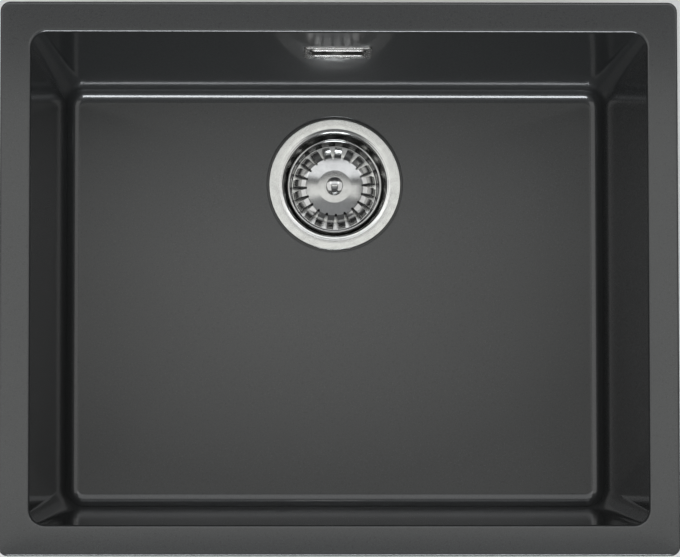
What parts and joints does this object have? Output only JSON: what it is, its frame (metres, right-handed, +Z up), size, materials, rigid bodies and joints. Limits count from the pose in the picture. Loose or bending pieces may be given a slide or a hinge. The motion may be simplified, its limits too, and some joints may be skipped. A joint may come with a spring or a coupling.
{
  "type": "kitchen sink",
  "caption": "Rectangular single-bowl composite kitchen sink with a basket strainer, a lift-out plug and a rigid overflow to its waste body.",
  "frame": {"origin": "middle of the rim's outline, at the rim's underside, which is the level of the worktop that the rim lies on", "axes": "+X to the user's right along the rim's length, +Y to the back where the overflow is, +Z up out of the bowl"},
  "size_m": [0.55, 0.4575, 0.2945],
  "materials": {
    "quartz_composite": "satin",
    "brushed_stainless": "satin",
    "polished_stainless": "polished",
    "screw_steel": "satin",
    "insert_brass": "satin",
    "black_rubber": "matte",
    "seal_rubber": "matte",
    "black_plastic": "satin",
    "wedge_plastic": "satin",
    "nylon": "satin"
  },
  "bodies": {
    "root": {"bowl": "quartz_composite", "rim_inserts": "insert_brass", "flange_seal": "seal_rubber", "strainer_cup": "brushed_stainless", "cup_screw": "screw_steel", "waste_seal": "seal_rubber", "waste_body": "black_plastic", "clamp_nut": "insert_brass", "overflow_plate": "brushed_stainless", "overflow_screw": "screw_steel", "overflow_seal": "seal_rubber", "overflow_head": "black_plastic", "overflow_head_nut": "insert_brass", "pipe_top_seal": "wedge_plastic", "pipe_top_nut": "black_plastic", "overflow_pipe": "black_plastic", "pipe_low_seal": "wedge_plastic", "pipe_low_nut": "black_plastic", "overflow_elbow": "black_plastic", "inlet_seal": "wedge_plastic", "inlet_nut": "black_plastic"},
    "plug": {"knob": "polished_stainless", "stem": "screw_steel", "stopper_washer": "screw_steel", "stopper": "black_rubber", "guide_pin": "nylon"},
    "basket": {"basket": "brushed_stainless"}
  },
  "joints": [
    {"name": "plug_lift", "type": "slide", "parent": "root", "child": "plug", "axis": [0, 0, 1], "range_m": [0, 0.06]},
    {"name": "basket_turn", "type": "hinge", "parent": "plug", "child": "basket", "pos_m": [0, 0.097, -0.2099], "axis": [0, 0, 1], "continuous": true}
  ]
}
